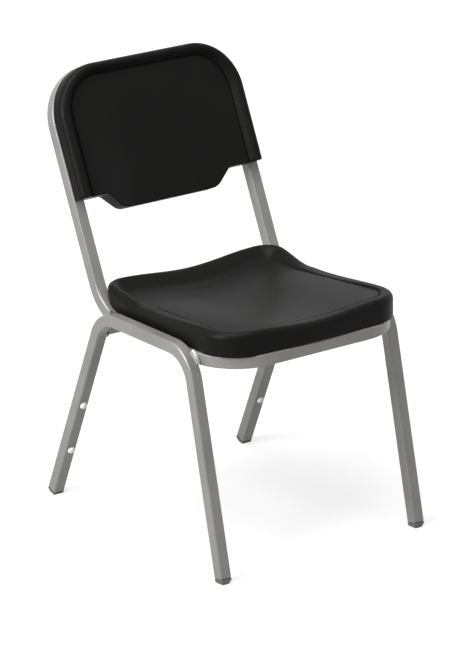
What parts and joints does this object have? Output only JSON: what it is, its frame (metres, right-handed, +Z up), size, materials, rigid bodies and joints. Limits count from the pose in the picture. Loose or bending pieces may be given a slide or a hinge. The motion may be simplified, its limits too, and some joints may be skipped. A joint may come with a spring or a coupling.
{
  "type": "choir chair",
  "caption": "Stacking choir chair with a bent square-tube frame, a dished plastic seat and a leaning plastic back with a rounded top.",
  "frame": {"origin": "on the floor, under the middle of the chair's outline", "axes": "+Z up, +X to the chair's right as its sitter faces -Y would see it from the front, -Y is the way the sitter faces"},
  "size_m": [0.4506, 0.5901, 0.7915],
  "materials": {
    "frame_paint": "satin silver-grey powder coat",
    "shell_plastic": "fine-grained black, a little sheen",
    "glide_plastic": "dark grey moulded",
    "bumper_plastic": "smooth white",
    "screw_steel": "zinc-plated"
  },
  "bodies": {
    "root": {"leg_frame_left": "frame_paint", "leg_frame_right": "frame_paint", "seat_back_hoop": "frame_paint", "rear_cross_tube": "frame_paint", "seat_shell": "shell_plastic", "back_shell": "shell_plastic", "glide_front_left": "glide_plastic", "glide_rear_left": "glide_plastic", "stack_bumper_upper_left": "bumper_plastic", "stack_bumper_lower_left": "bumper_plastic", "seat_screw_front_left": "screw_steel", "seat_screw_rear_left": "screw_steel", "back_screw_low_left": "screw_steel", "back_screw_high_left": "screw_steel", "hoop_weld_front_left": "frame_paint", "hoop_weld_rear_left": "frame_paint", "cross_weld_left": "frame_paint", "glide_front_right": "glide_plastic", "glide_rear_right": "glide_plastic", "stack_bumper_upper_right": "bumper_plastic", "stack_bumper_lower_right": "bumper_plastic", "seat_screw_front_right": "screw_steel", "seat_screw_rear_right": "screw_steel", "back_screw_low_right": "screw_steel", "back_screw_high_right": "screw_steel", "hoop_weld_front_right": "frame_paint", "hoop_weld_rear_right": "frame_paint", "cross_weld_right": "frame_paint"}
  },
  "joints": []
}
